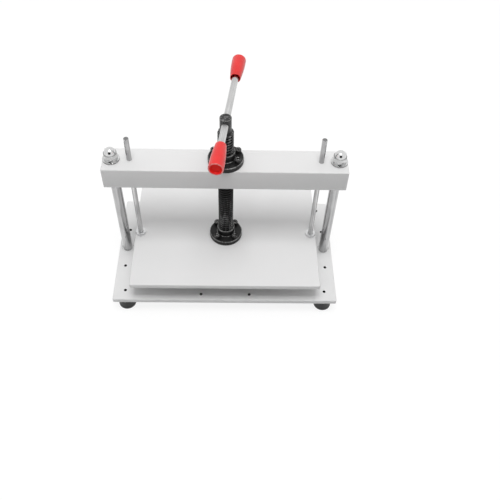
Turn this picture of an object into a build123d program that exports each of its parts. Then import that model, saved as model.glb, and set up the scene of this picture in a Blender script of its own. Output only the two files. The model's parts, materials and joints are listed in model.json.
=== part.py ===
from build123d import *
import math
import os

os.makedirs("parts", exist_ok=True)

# Screw press for flattening books: a bed on rubber feet, two posts and a crossbeam,
# and a platen that a screw with a sliding tommy bar lowers and lifts between them.
# Millimetres; X is the width, -Y the front, Z is up. The bed's upper face is Z = 0,
# and the screw's axis is the Z axis.

# Bed
BED_LENGTH = 370.0
BED_DEPTH = 220.0
BED_THICKNESS = 8.0
PLATE_CORNER = 2.5
PLATE_EDGE = 0.6

# Open tapped holes in the bed, for clipping on paper guides
FENCE_DRILL = 5.0
FENCE_SIDE_SPACING = 80.0
FENCE_FRONT_SPACING = 80.0
FENCE_FRONT_INSET = 12.0

# Feet
FOOT_HEIGHT = 27.0
FOOT_TOP_DIAMETER = 24.0
FOOT_FLOOR_DIAMETER = 28.5
FOOT_RIM_HEIGHT = 5.0
FOOT_RIM_ROUND = 1.2
FOOT_RECESS_DIAMETER = 14.0
FOOT_END_INSET = 19.5
FOOT_SIDE_INSET = 19.0
FOOT_SCREW_DIAMETER = 6.0
FOOT_SCREW_LENGTH = 20.0
FOOT_SCREW_BITE = 6.0
FOOT_WASHER_THICKNESS = 1.6

# Posts
POST_DIAMETER = 16.0
POST_LENGTH = 174.0
POST_END_INSET = 14.0
POST_EDGE = 0.5
POST_SEAT_DIAMETER = 20.5
POST_SEAT_DEPTH = 0.4
STUD_DIAMETER = 12.0
STUD_BITE = 10.0
POST_SCREW_DIAMETER = 8.0
POST_SCREW_LENGTH = 25.0
POST_WASHER_DIAMETER = 16.0
POST_WASHER_THICKNESS = 1.6

# Crossbeam
BEAM_DEPTH = 49.0
BEAM_HEIGHT = 36.0
BEAM_OVERHANG = 13.0
BEAM_CORNER = 1.5
BEAM_EDGE = 0.8

# Washers and cap nuts on the post studs
TOP_WASHER_DIAMETER = 26.0
TOP_WASHER_THICKNESS = 2.5
SPRING_WASHER_WALL = 4.2
SPRING_WASHER_THICKNESS = 3.0
SPRING_WASHER_GAP = 2.0
CAP_NUT_FLATS = 19.0
CAP_NUT_HEX_HEIGHT = 7.0
CAP_NUT_DOME_DIAMETER = 18.0
CAP_NUT_BEVEL = 1.0
CAP_NUT_LEFT_TURN = -11.0
CAP_NUT_RIGHT_TURN = 27.0

# Platen
PLATEN_SIDE_GAP = 10.0
PLATEN_DEPTH = 220.0
PLATEN_THICKNESS = 8.0
DAYLIGHT = 33.0

# Guide rods
GUIDE_DIAMETER = 8.0
GUIDE_LENGTH = 210.0
GUIDE_RIGHT_EXTRA = 3.0
GUIDE_END_INSET = 9.0
GUIDE_BITE = 6.5
GUIDE_POINT = 1.2
COLLAR_DIAMETER = 17.0
COLLAR_HEIGHT = 5.0
COLLAR_EDGE = 0.6

# Flanges of the screw nut and of the thrust housing
FLANGE_DIAMETER = 54.0
FLANGE_THICKNESS = 8.0
FLANGE_BEVEL = 1.0
BOSS_DIAMETER = 28.5
BOSS_TOP = 20.0
BOSS_EDGE = 1.0
BOSS_FILLET = 0.8
BOLT_CIRCLE = 42.0
FLANGE_SCREW_DIAMETER = 6.0
NUT_SCREW_ANGLE = 30.0
NUT_SCREW_LENGTH = 18.0
HOUSING_SCREW_ANGLE = 45.0
HOUSING_SCREW_LENGTH = 14.0

# Screw nut
NUT_BARREL_DIAMETER = 32.0
NUT_BARREL_LENGTH = 30.0

# Spindle, and the thrust housing that it turns in
SPINDLE_DIAMETER = 24.0
SPINDLE_THREAD_LENGTH = 212.5
SPINDLE_BEVEL = 1.5
HUB_DIAMETER = 17.5
HUB_HEIGHT = 25.0
HUB_EDGE = 0.8
JOURNAL_DIAMETER = 14.0
HOUSING_WEB = 5.0
HOUSING_POCKET_DIAMETER = 24.0
HOUSING_POCKET_DEPTH = 7.0
THRUST_WASHER_THICKNESS = 2.0
RETAINER_DIAMETER = 21.0
RETAINER_THICKNESS = 3.0
RETAINER_SCREW_DIAMETER = 6.0
RETAINER_SCREW_HEAD = 3.2
RETAINER_SCREW_LENGTH = 16.0
END_FLOAT = 0.2

# Tommy bar and its grips
BAR_DIAMETER = 10.0
BAR_RISE = 14.5
BAR_TURN = 7.2
BAR_SHIFT = 28.5
BAR_FREE_LENGTH = 151.5
BAR_IN_GRIP = 38.0
BAR_POINT = 1.0
GRIP_LENGTH = 47.0
GRIP_MOUTH_DIAMETER = 16.0
GRIP_END_DIAMETER = 21.5
GRIP_SWELL = 0.9
GRIP_ROUND = 1.5
GRIP_CUP_DIAMETER = 14.0
GRIP_CUP_DEPTH = 8.0
GRIP_DISH_DIAMETER = 17.5
GRIP_DISH_DEPTH = 3.0

# Clearances, each on the radius, and spare depth at the bottom of blind holes
RUNNING_FIT = 0.06
SEATED_FIT = 0.05
LOOSE_FIT = 0.3
BLIND_SPARE = 1.0

# Proportions of socket cap screws, as shares of the thread's diameter
CAP_HEAD_SHARE = 5.0 / 3.0
CAP_SOCKET_SHARE = 5.0 / 6.0
CAP_SOCKET_DEPTH_SHARE = 0.5
CAP_BEVEL_SHARE = 0.1

# Heights of the seats, from the bed's upper face
bed_top = 0.0
bed_bottom = bed_top - BED_THICKNESS
floor = bed_bottom - FOOT_HEIGHT
beam_bottom = bed_top + POST_LENGTH
beam_top = beam_bottom + BEAM_HEIGHT
platen_bottom = bed_top + DAYLIGHT
platen_top = platen_bottom + PLATEN_THICKNESS
web_bottom = platen_top + HOUSING_POCKET_DEPTH
web_top = web_bottom + HOUSING_WEB
spindle_shoulder = web_top + THRUST_WASHER_THICKNESS
thread_top = spindle_shoulder + SPINDLE_THREAD_LENGTH
hub_top = thread_top + HUB_HEIGHT
bar_height = thread_top + BAR_RISE

# Places across the press
foot_x = BED_LENGTH / 2 - FOOT_END_INSET
foot_y = BED_DEPTH / 2 - FOOT_SIDE_INSET
post_x = BED_LENGTH / 2 - POST_END_INSET
platen_length = 2 * (post_x - POST_DIAMETER / 2 - PLATEN_SIDE_GAP)
guide_x = platen_length / 2 - GUIDE_END_INSET
beam_length = 2 * (post_x + BEAM_OVERHANG)
fence_y = FENCE_FRONT_INSET - BED_DEPTH / 2


def turned(*outline):
    """A turned piece: the outline's (radius, height) points, spun about Z."""
    return revolve(make_face(Plane.XZ * Polyline(*outline, close=True)), Axis.Z)


def rod(diameter, low, high):
    """A plain round bar on Z, also used to cut a straight hole."""
    return Pos(0, 0, (low + high) / 2) * Cylinder(diameter / 2, high - low)


def ring(outer, inner, low, high):
    """A flat washer on Z."""
    return rod(outer, low, high) - rod(inner, low, high)


def both_sides(shape, x):
    """The same piece on the left and on the right of the press."""
    return [Pos(-x, 0, 0) * shape, Pos(x, 0, 0) * shape]


def bolt_circle(shape, angle):
    """Two screws each side of the width axis, the given angle off it."""
    return [
        Rot(0, 0, side + sign * angle) * Pos(BOLT_CIRCLE / 2, 0, 0) * shape
        for side in (0, 180)
        for sign in (-1, 1)
    ]


def plate(length, depth, thickness, bottom, corner, edge):
    """A flat bar or plate with rounded upright corners and broken edges."""
    blank = Pos(0, 0, bottom + thickness / 2) * Box(length, depth, thickness)
    blank = fillet(blank.edges().filter_by(Axis.Z), corner)
    rims = blank.faces().sort_by(Axis.Z)
    return chamfer(rims[0].edges() + rims[-1].edges(), edge)


def cap_screw(diameter, length):
    """Socket cap screw, its head resting on Z = 0 and its shank pointing down."""
    head = diameter * CAP_HEAD_SHARE / 2
    bevel = diameter * CAP_BEVEL_SHARE
    shank = diameter / 2
    blank = turned(
        (0, -length),
        (shank - bevel, -length),
        (shank, bevel - length),
        (shank, 0),
        (head, 0),
        (head, diameter - bevel),
        (head - bevel, diameter),
        (0, diameter),
    )
    depth = diameter * CAP_SOCKET_DEPTH_SHARE
    socket = RegularPolygon(diameter * CAP_SOCKET_SHARE / 2, 6, major_radius=False)
    return blank - Pos(0, 0, diameter - depth) * extrude(socket, depth)


def save(name, *solids):
    """One named piece, or one group of like fasteners, to its own file."""
    shape = solids[0] if len(solids) == 1 else Compound(children=list(solids))
    export_step(shape, f"parts/{name}.step")


# Bed plate, drilled for the feet, the posts and the paper guides. A shallow seat is
# milled round each post.
post_foot = bed_top - POST_SEAT_DEPTH
post_hole = rod(POST_SCREW_DIAMETER + 2 * LOOSE_FIT, bed_bottom, bed_top)
foot_hole = rod(FENCE_DRILL, bed_bottom, bed_top) + rod(
    FOOT_SCREW_DIAMETER + 2 * SEATED_FIT, bed_bottom, bed_bottom + FOOT_SCREW_BITE
)
fence_hole = rod(FENCE_DRILL, bed_bottom, bed_top)
bed = plate(BED_LENGTH, BED_DEPTH, BED_THICKNESS, bed_bottom, PLATE_CORNER, PLATE_EDGE)
bed -= both_sides(post_hole + rod(POST_SEAT_DIAMETER, post_foot, bed_top), post_x)
corners = [(x, y) for y in (-foot_y, foot_y) for x in (-foot_x, foot_x)]
bed -= [Pos(x, y, 0) * foot_hole for x, y in corners]
for y in (-FENCE_SIDE_SPACING / 2, FENCE_SIDE_SPACING / 2):
    bed -= [Pos(0, y, 0) * hole for hole in both_sides(fence_hole, post_x)]
bed -= [Pos(0, fence_y, 0) * hole for hole in both_sides(fence_hole, FENCE_FRONT_SPACING / 2)]
save("bed_plate", bed)

# Rubber feet: a bell that flares to the floor, hollow below for the screw's head
foot_web = FOOT_SCREW_LENGTH - FOOT_SCREW_BITE - FOOT_WASHER_THICKNESS
recess_top = bed_bottom - foot_web
foot_rim_top = floor + FOOT_RIM_HEIGHT
floor_radius = FOOT_FLOOR_DIAMETER / 2
top_radius = FOOT_TOP_DIAMETER / 2
screw_hole = FOOT_SCREW_DIAMETER / 2 + LOOSE_FIT
recess_radius = FOOT_RECESS_DIAMETER / 2
foot_rim = (floor_radius, foot_rim_top)
foot_shoulder = (top_radius, bed_bottom)
waist = (
    top_radius + (floor_radius - top_radius) / 4,
    (foot_rim_top + bed_bottom) / 2,
)
foot_outline = Polyline(
    foot_shoulder,
    (screw_hole, bed_bottom),
    (screw_hole, recess_top),
    (recess_radius, recess_top),
    (recess_radius, floor),
    (floor_radius - FOOT_RIM_ROUND, floor),
    (floor_radius, floor + FOOT_RIM_ROUND),
    foot_rim,
) + ThreePointArc(foot_rim, waist, foot_shoulder)
foot = revolve(make_face(Plane.XZ * foot_outline), Axis.Z)
foot_names = ["foot_front_left", "foot_front_right", "foot_rear_left", "foot_rear_right"]
for name, (x, y) in zip(foot_names, corners):
    save(name, Pos(x, y, 0) * foot)

# Foot screws and their washers, up inside the feet
washer_bottom = recess_top - FOOT_WASHER_THICKNESS
foot_washer = ring(
    FOOT_RECESS_DIAMETER - 2 * LOOSE_FIT, 2 * screw_hole, washer_bottom, recess_top
)
foot_screw = Pos(0, 0, washer_bottom) * Rot(180, 0, 0) * cap_screw(
    FOOT_SCREW_DIAMETER, FOOT_SCREW_LENGTH
)
save("foot_washers", *[Pos(x, y, 0) * foot_washer for x, y in corners])
save("foot_screws", *[Pos(x, y, 0) * foot_screw for x, y in corners])

# Posts: ground bars with a turned stud on top and a tapped hole below
stud_top = beam_top + TOP_WASHER_THICKNESS + SPRING_WASHER_THICKNESS + STUD_BITE
post_washer_low = bed_bottom - POST_WASHER_THICKNESS
post_screw_end = post_washer_low + POST_SCREW_LENGTH
post_radius = POST_DIAMETER / 2
stud_radius = STUD_DIAMETER / 2
post = turned(
    (0, post_foot),
    (post_radius - POST_EDGE, post_foot),
    (post_radius, post_foot + POST_EDGE),
    (post_radius, beam_bottom - POST_EDGE),
    (post_radius - POST_EDGE, beam_bottom),
    (stud_radius, beam_bottom),
    (stud_radius, stud_top - POST_EDGE),
    (stud_radius - POST_EDGE, stud_top),
    (0, stud_top),
)
post -= rod(POST_SCREW_DIAMETER + 2 * SEATED_FIT, post_foot, post_screw_end + BLIND_SPARE)
for name, piece in zip(("post_left", "post_right"), both_sides(post, post_x)):
    save(name, piece)

# Cap screws that hold the posts down from under the bed
post_washer = ring(
    POST_WASHER_DIAMETER,
    POST_SCREW_DIAMETER + 2 * LOOSE_FIT,
    post_washer_low,
    bed_bottom,
)
post_screw = Pos(0, 0, post_washer_low) * Rot(180, 0, 0) * cap_screw(
    POST_SCREW_DIAMETER, POST_SCREW_LENGTH
)
save("post_washers", *both_sides(post_washer, post_x))
save("post_screws", *both_sides(post_screw, post_x))

# Crossbeam, bored for the studs, the guide rods and the screw nut
nut_screw_bite = NUT_SCREW_LENGTH - FLANGE_THICKNESS
beam = plate(beam_length, BEAM_DEPTH, BEAM_HEIGHT, beam_bottom, BEAM_CORNER, BEAM_EDGE)
beam -= both_sides(rod(STUD_DIAMETER + 2 * LOOSE_FIT, beam_bottom, beam_top), post_x)
beam -= both_sides(rod(GUIDE_DIAMETER + 2 * RUNNING_FIT, beam_bottom, beam_top), guide_x)
beam -= rod(NUT_BARREL_DIAMETER + 2 * SEATED_FIT, beam_bottom, beam_top)
beam -= bolt_circle(
    rod(
        FLANGE_SCREW_DIAMETER + 2 * SEATED_FIT,
        beam_top - nut_screw_bite - BLIND_SPARE,
        beam_top,
    ),
    NUT_SCREW_ANGLE,
)
save("crossbeam", beam)

# Flat washer, split washer and cap nut on each stud
top_washer_high = beam_top + TOP_WASHER_THICKNESS
spring_high = top_washer_high + SPRING_WASHER_THICKNESS
stud_clear = STUD_DIAMETER + 2 * LOOSE_FIT
spring_outer = stud_clear + 2 * SPRING_WASHER_WALL
top_washer = ring(TOP_WASHER_DIAMETER, stud_clear, beam_top, top_washer_high)
split = Pos(0, -spring_outer / 2, top_washer_high + SPRING_WASHER_THICKNESS / 2) * Box(
    SPRING_WASHER_GAP, spring_outer, SPRING_WASHER_THICKNESS
)
spring_washer = ring(spring_outer, stud_clear, top_washer_high, spring_high) - split
hex_corner = CAP_NUT_FLATS / math.sqrt(3)
dome_radius = CAP_NUT_DOME_DIAMETER / 2
hexagon = RegularPolygon(CAP_NUT_FLATS / 2, 6, major_radius=False)
hex_bevel = turned(
    (0, 0),
    (hex_corner - CAP_NUT_BEVEL, 0),
    (hex_corner, CAP_NUT_BEVEL / 2),
    (hex_corner, CAP_NUT_HEX_HEIGHT - CAP_NUT_BEVEL / 2),
    (hex_corner - CAP_NUT_BEVEL, CAP_NUT_HEX_HEIGHT),
    (0, CAP_NUT_HEX_HEIGHT),
)
dome = Pos(0, 0, CAP_NUT_HEX_HEIGHT) * Sphere(dome_radius)
dome &= Pos(0, 0, CAP_NUT_HEX_HEIGHT + dome_radius / 2) * Box(
    CAP_NUT_DOME_DIAMETER, CAP_NUT_DOME_DIAMETER, dome_radius
)
cap_nut = (extrude(hexagon, CAP_NUT_HEX_HEIGHT) & hex_bevel) + dome
cap_nut -= rod(STUD_DIAMETER + 2 * SEATED_FIT, 0, STUD_BITE + BLIND_SPARE)
save("top_washers", *both_sides(top_washer, post_x))
save("spring_washers", *both_sides(spring_washer, post_x))
save(
    "cap_nuts",
    Pos(-post_x, 0, spring_high) * Rot(0, 0, CAP_NUT_LEFT_TURN) * cap_nut,
    Pos(post_x, 0, spring_high) * Rot(0, 0, CAP_NUT_RIGHT_TURN) * cap_nut,
)


def flange(bottom, angle):
    """Round flange with a boss above it, drilled on the bolt circle."""
    disc = FLANGE_DIAMETER / 2
    boss = BOSS_DIAMETER / 2
    deck = bottom + FLANGE_THICKNESS
    top = bottom + BOSS_TOP
    blank = turned(
        (0, bottom),
        (disc, bottom),
        (disc, deck - FLANGE_BEVEL),
        (disc - FLANGE_BEVEL, deck),
        (boss + BOSS_FILLET, deck),
        (boss, deck + BOSS_FILLET),
        (boss, top - BOSS_EDGE),
        (boss - BOSS_EDGE, top),
        (0, top),
    )
    hole = rod(FLANGE_SCREW_DIAMETER + 2 * LOOSE_FIT, bottom, deck)
    return blank - bolt_circle(hole, angle)


def mouth(top):
    """The bevel that leads the spindle into a boss."""
    bore = SPINDLE_DIAMETER / 2 + RUNNING_FIT
    return turned((0, top - BOSS_EDGE), (bore, top - BOSS_EDGE), (bore + BOSS_EDGE, top), (0, top))


# Screw nut: a flange on the beam with its barrel down in the beam's bore
nut_low = beam_top - NUT_BARREL_LENGTH
nut_high = beam_top + BOSS_TOP
screw_nut = flange(beam_top, NUT_SCREW_ANGLE) + rod(NUT_BARREL_DIAMETER, nut_low, beam_top)
screw_nut -= rod(SPINDLE_DIAMETER + 2 * RUNNING_FIT, nut_low, nut_high)
screw_nut -= mouth(nut_high)
nut_screw = Pos(0, 0, beam_top + FLANGE_THICKNESS) * cap_screw(
    FLANGE_SCREW_DIAMETER, NUT_SCREW_LENGTH
)
save("screw_nut", screw_nut)
save("screw_nut_screws", *bolt_circle(nut_screw, NUT_SCREW_ANGLE))

# Platen, with blind holes so that its pressing face stays whole
housing_screw_bite = HOUSING_SCREW_LENGTH - FLANGE_THICKNESS
platen = plate(
    platen_length, PLATEN_DEPTH, PLATEN_THICKNESS, platen_bottom, PLATE_CORNER, PLATE_EDGE
)
platen -= both_sides(
    rod(GUIDE_DIAMETER + 2 * SEATED_FIT, platen_top - GUIDE_BITE, platen_top), guide_x
)
platen -= bolt_circle(
    rod(
        FLANGE_SCREW_DIAMETER + 2 * SEATED_FIT,
        platen_top - housing_screw_bite - BLIND_SPARE,
        platen_top,
    ),
    HOUSING_SCREW_ANGLE,
)
save("press_platen", platen)



def guide(x, top):
    """A guide rod with its end bevelled, its foot screwed into the platen."""
    radius = GUIDE_DIAMETER / 2
    return Pos(x, 0, 0) * turned(
        (0, platen_top - GUIDE_BITE),
        (radius, platen_top - GUIDE_BITE),
        (radius, top - GUIDE_POINT),
        (radius - GUIDE_POINT, top),
        (0, top),
    )


# Guide rods and the collars that lock them. The right rod stands higher.
guide_top = platen_top + GUIDE_LENGTH
save("guide_rod_left", guide(-guide_x, guide_top))
save("guide_rod_right", guide(guide_x, guide_top + GUIDE_RIGHT_EXTRA))
collar_top = platen_top + COLLAR_HEIGHT
collar_radius = COLLAR_DIAMETER / 2
collar = turned(
    (0, platen_top),
    (collar_radius, platen_top),
    (collar_radius, collar_top - COLLAR_EDGE),
    (collar_radius - COLLAR_EDGE, collar_top),
    (0, collar_top),
) - rod(GUIDE_DIAMETER + 2 * SEATED_FIT, platen_top, collar_top)
for side, piece in zip(("left", "right"), both_sides(collar, guide_x)):
    save(f"guide_collar_{side}", piece)

# Thrust housing: bore for the spindle, a web that it pushes on, a pocket below
housing_top = platen_top + BOSS_TOP
housing = flange(platen_top, HOUSING_SCREW_ANGLE)
housing -= rod(SPINDLE_DIAMETER + 2 * RUNNING_FIT, web_top, housing_top)
housing -= rod(JOURNAL_DIAMETER + 2 * RUNNING_FIT, web_bottom, web_top)
housing -= rod(HOUSING_POCKET_DIAMETER, platen_top, web_bottom)
housing -= mouth(housing_top)
housing_screw = Pos(0, 0, platen_top + FLANGE_THICKNESS) * cap_screw(
    FLANGE_SCREW_DIAMETER, HOUSING_SCREW_LENGTH
)
save("thrust_housing", housing)
save("thrust_housing_screws", *bolt_circle(housing_screw, HOUSING_SCREW_ANGLE))

# Thrust washer on the web, under the spindle's shoulder
thrust_washer = ring(
    SPINDLE_DIAMETER, JOURNAL_DIAMETER + 2 * RUNNING_FIT, web_top, spindle_shoulder
)
save("thrust_washer", thrust_washer)

# Spindle: journal, screw, and a turned hub that is drilled across for the bar
journal_end = web_bottom - END_FLOAT
spindle_radius = SPINDLE_DIAMETER / 2
hub_radius = HUB_DIAMETER / 2
journal_radius = JOURNAL_DIAMETER / 2
spindle = turned(
    (0, journal_end),
    (journal_radius, journal_end),
    (journal_radius, spindle_shoulder),
    (spindle_radius, spindle_shoulder),
    (spindle_radius, thread_top - SPINDLE_BEVEL),
    (spindle_radius - SPINDLE_BEVEL, thread_top),
    (hub_radius, thread_top),
    (hub_radius, hub_top - HUB_EDGE),
    (hub_radius - HUB_EDGE, hub_top),
    (0, hub_top),
)
along_bar = Pos(0, 0, bar_height) * Rot(0, 0, -BAR_TURN) * Rot(-90, 0, 0)
spindle -= along_bar * rod(BAR_DIAMETER + 2 * RUNNING_FIT, -HUB_DIAMETER, HUB_DIAMETER)
retainer_bite = RETAINER_SCREW_LENGTH - RETAINER_THICKNESS
spindle -= rod(
    RETAINER_SCREW_DIAMETER + 2 * SEATED_FIT,
    journal_end,
    journal_end + retainer_bite + BLIND_SPARE,
)
save("spindle", spindle)

# Retaining washer and low-headed screw that let the spindle lift the platen
retainer_bottom = journal_end - RETAINER_THICKNESS
retainer = ring(
    RETAINER_DIAMETER,
    RETAINER_SCREW_DIAMETER + 2 * LOOSE_FIT,
    retainer_bottom,
    journal_end,
)
retainer_shank = RETAINER_SCREW_DIAMETER / 2
retainer_head = RETAINER_SCREW_DIAMETER * CAP_HEAD_SHARE / 2
retainer_bevel = RETAINER_SCREW_DIAMETER * CAP_BEVEL_SHARE
retainer_screw = turned(
    (0, retainer_bottom - RETAINER_SCREW_HEAD),
    (retainer_head - retainer_bevel, retainer_bottom - RETAINER_SCREW_HEAD),
    (retainer_head, retainer_bottom - RETAINER_SCREW_HEAD + retainer_bevel),
    (retainer_head, retainer_bottom),
    (retainer_shank, retainer_bottom),
    (retainer_shank, journal_end + retainer_bite),
    (0, journal_end + retainer_bite),
)
retainer_socket = RegularPolygon(
    RETAINER_SCREW_DIAMETER * CAP_SOCKET_SHARE / 2, 6, major_radius=False
)
retainer_screw -= Pos(0, 0, retainer_bottom - RETAINER_SCREW_HEAD) * extrude(
    retainer_socket, RETAINER_SCREW_HEAD / 2
)
save("retaining_washer", retainer)
save("retaining_screw", retainer_screw)

# Tommy bar, stored slid towards the back of the press
bar_half = BAR_FREE_LENGTH / 2 + BAR_IN_GRIP
bar_radius = BAR_DIAMETER / 2
bar = turned(
    (0, -bar_half),
    (bar_radius - BAR_POINT, -bar_half),
    (bar_radius, BAR_POINT - bar_half),
    (bar_radius, bar_half - BAR_POINT),
    (bar_radius - BAR_POINT, bar_half),
    (0, bar_half),
)
slid = along_bar * Pos(0, 0, BAR_SHIFT)
save("tommy_bar", slid * bar)

# Grips: tapered plastic caps with a cupped mouth and a dished end, pushed onto the
# bar's ends
mouth_radius = GRIP_MOUTH_DIAMETER / 2
end_radius = GRIP_END_DIAMETER / 2
bore_radius = bar_radius + SEATED_FIT
cup_radius = GRIP_CUP_DIAMETER / 2
dish_radius = GRIP_DISH_DIAMETER / 2
belly = ((mouth_radius + end_radius) / 2 + GRIP_SWELL, GRIP_LENGTH / 2)
lip = (mouth_radius, GRIP_ROUND)
heel = (end_radius, GRIP_LENGTH - GRIP_ROUND)
grip_outline = (
    Polyline(
        heel,
        (end_radius - GRIP_ROUND, GRIP_LENGTH),
        (dish_radius, GRIP_LENGTH),
        (dish_radius - GRIP_ROUND, GRIP_LENGTH - GRIP_DISH_DEPTH),
        (0, GRIP_LENGTH - GRIP_DISH_DEPTH),
        (0, BAR_IN_GRIP),
        (bore_radius, BAR_IN_GRIP),
        (bore_radius, GRIP_CUP_DEPTH),
        (cup_radius, GRIP_CUP_DEPTH),
        (cup_radius, 0),
        (mouth_radius - GRIP_ROUND / 2, 0),
        lip,
    )
    + ThreePointArc(lip, belly, heel)
)
grip = Pos(0, 0, BAR_FREE_LENGTH / 2) * revolve(make_face(Plane.XZ * grip_outline), Axis.Z)
save("grip_far", slid * grip)
save("grip_near", slid * Rot(180, 0, 0) * grip)
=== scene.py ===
import json
import math

import bmesh
import bpy
from mathutils import Matrix, Vector


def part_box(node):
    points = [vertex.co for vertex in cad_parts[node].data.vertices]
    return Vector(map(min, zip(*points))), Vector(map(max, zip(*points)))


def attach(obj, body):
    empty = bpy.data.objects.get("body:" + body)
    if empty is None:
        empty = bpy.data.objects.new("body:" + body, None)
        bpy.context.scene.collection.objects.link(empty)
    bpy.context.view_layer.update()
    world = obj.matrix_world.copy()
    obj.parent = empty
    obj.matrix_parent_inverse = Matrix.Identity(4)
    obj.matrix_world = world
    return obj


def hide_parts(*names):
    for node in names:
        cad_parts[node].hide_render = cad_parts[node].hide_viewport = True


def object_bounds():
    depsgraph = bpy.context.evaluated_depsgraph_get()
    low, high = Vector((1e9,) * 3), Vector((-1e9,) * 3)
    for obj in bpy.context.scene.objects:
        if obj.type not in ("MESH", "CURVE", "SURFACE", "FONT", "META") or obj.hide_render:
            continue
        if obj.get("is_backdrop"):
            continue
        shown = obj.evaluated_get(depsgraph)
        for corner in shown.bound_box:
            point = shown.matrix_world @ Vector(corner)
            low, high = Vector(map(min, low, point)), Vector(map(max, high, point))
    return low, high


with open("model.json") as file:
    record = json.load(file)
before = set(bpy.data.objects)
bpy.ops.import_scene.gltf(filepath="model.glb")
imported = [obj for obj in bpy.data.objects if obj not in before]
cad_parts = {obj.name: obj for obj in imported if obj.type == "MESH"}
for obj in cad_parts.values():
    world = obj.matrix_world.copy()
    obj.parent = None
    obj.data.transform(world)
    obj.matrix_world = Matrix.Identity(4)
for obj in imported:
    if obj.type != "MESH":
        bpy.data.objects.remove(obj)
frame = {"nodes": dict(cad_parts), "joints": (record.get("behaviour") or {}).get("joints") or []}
cad_low, cad_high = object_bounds()
MM = 0.001


# Bed plate: 8 mm steel, milled square and coated in light grey powder, which cures
# to a faint orange peel. Its holes are drilled through: clear for the posts, and
# tapped for the feet, along the sides and at the front.
class Socket:
    """An output of a node tree. Sums on it add Math nodes to the same tree."""

    def __init__(self, tree, output=None):
        self.tree = tree
        self.output = output

    def node(self, kind, settings, sockets, output=0):
        """Adds a node: its settings first, then the values or links of its sockets."""
        made = self.tree.nodes.new(kind)
        for name, value in settings.items():
            setattr(made, name, value)
        for name, value in sockets.items():
            if isinstance(value, Socket):
                self.tree.links.new(value.output, made.inputs[name])
            else:
                made.inputs[name].default_value = value
        return Socket(self.tree, made.outputs[output])

    def sum(self, operation, *values):
        return self.node("ShaderNodeMath", {"operation": operation}, dict(enumerate(values)))

    def __add__(self, other):
        return self.sum("ADD", self, other)

    def __sub__(self, other):
        return self.sum("SUBTRACT", self, other)

    def __rsub__(self, other):
        return self.sum("SUBTRACT", other, self)

    def __mul__(self, other):
        return self.sum("MULTIPLY", self, other)

    __radd__ = __add__
    __rmul__ = __mul__

    def least(self, other):
        return self.sum("MINIMUM", self, other)

    def most(self, other):
        return self.sum("MAXIMUM", self, other)

    def clamped(self, low, high):
        return self.most(low).least(high)

    def size(self):
        """This value without its sign."""
        return self.sum("ABSOLUTE", self)

    def part(self, axis):
        """One coordinate of this place."""
        return self.node("ShaderNodeSeparateXYZ", {}, {"Vector": self}, axis)

    def noise(self, scale, detail=2.0, stretch=(1.0, 1.0, 1.0), centre=(0.0, 0.0, 0.0)):
        """Noise at this place, from 0 to 1, in features of about 1/scale metres."""
        moved = self.node(
            "ShaderNodeMapping",
            {"vector_type": "TEXTURE"},
            {"Vector": self, "Location": centre, "Scale": stretch},
        )
        sockets = {"Vector": moved, "Scale": scale, "Detail": detail}
        return self.node("ShaderNodeTexNoise", {}, sockets, "Fac")

    def ramp(self, low, high):
        """0 where this value is at or under low, and 1 where it is at or over high."""
        limits = {"Value": self, "From Min": low, "From Max": high}
        return self.node("ShaderNodeMapRange", {"clamp": True}, limits)

    def tint(self, first, second):
        """The first colour where this value is 0, and the second where it is 1."""
        low, high = (c if isinstance(c, Socket) else (*c, 1.0) for c in (first, second))
        ends = {"Factor": self, 6: low, 7: high}
        return self.node("ShaderNodeMix", {"data_type": "RGBA"}, ends, 2)

    def bump(self, distance, strength=1.0):
        """The surface's normal, raised by up to this distance where the value is 1."""
        sockets = {"Height": self, "Distance": distance, "Strength": strength}
        return self.node("ShaderNodeBump", {}, sockets)


def finish(name, recipe):
    """A material whose shader takes its sockets from the recipe, given the place."""
    material = bpy.data.materials.new(name)
    material.use_nodes = True
    tree = material.node_tree
    shader = tree.nodes["Principled BSDF"]
    place = Socket(tree).node("ShaderNodeTexCoord", {}, {}, "Object")
    for socket, value in recipe(place).items():
        if isinstance(value, Socket):
            tree.links.new(value.output, shader.inputs[socket])
        else:
            shader.inputs[socket].default_value = value
    return material


def settle(piece):
    """Turns a piece and its modifiers into one plain mesh."""
    bpy.context.view_layer.update()
    shown = piece.evaluated_get(bpy.context.evaluated_depsgraph_get())
    mesh = bpy.data.meshes.new_from_object(shown)
    piece.modifiers.clear()
    piece.data = mesh
    return piece


SHARP = math.radians(32)
COPLANAR = math.radians(0.3)
WELD = 0.001 * MM


def piece_of(name, shape, material):
    """An object at the origin that holds this shape, smooth up to its sharp edges."""
    mesh = bpy.data.meshes.new(name)
    shape.to_mesh(mesh)
    shape.free()
    mesh.polygons.foreach_set("use_smooth", [True] * len(mesh.polygons))
    mesh.set_sharp_from_angle(angle=SHARP)
    mesh.materials.clear()
    mesh.materials.append(material)
    piece = bpy.data.objects.new(name, mesh)
    bpy.context.scene.collection.objects.link(piece)
    return piece


def eased(name, node, width, material):
    """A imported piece's shape with its flat faces joined up and its edges eased."""
    shape = bmesh.new()
    shape.from_mesh(frame["nodes"][node].data)
    bmesh.ops.remove_doubles(shape, verts=shape.verts, dist=WELD)
    bmesh.ops.dissolve_limit(
        shape, angle_limit=COPLANAR, verts=shape.verts, edges=shape.edges
    )
    piece = piece_of(name, shape, material)
    bevel = piece.modifiers.new("eased edges", "BEVEL")
    bevel.width = width
    bevel.segments = 2
    bevel.limit_method = "ANGLE"
    bevel.angle_limit = SHARP
    bevel.harden_normals = True
    return settle(piece)


def dress(piece, material, chosen):
    """Gives the faces that the test picks a second material."""
    piece.data.materials.append(material)
    for face in piece.data.polygons:
        if chosen(face):
            face.material_index = len(piece.data.materials) - 1


COAT_LIGHT = (0.80, 0.80, 0.80)
COAT_DARK = (0.765, 0.765, 0.765)
PLATE_EASE = 0.25 * MM


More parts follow.
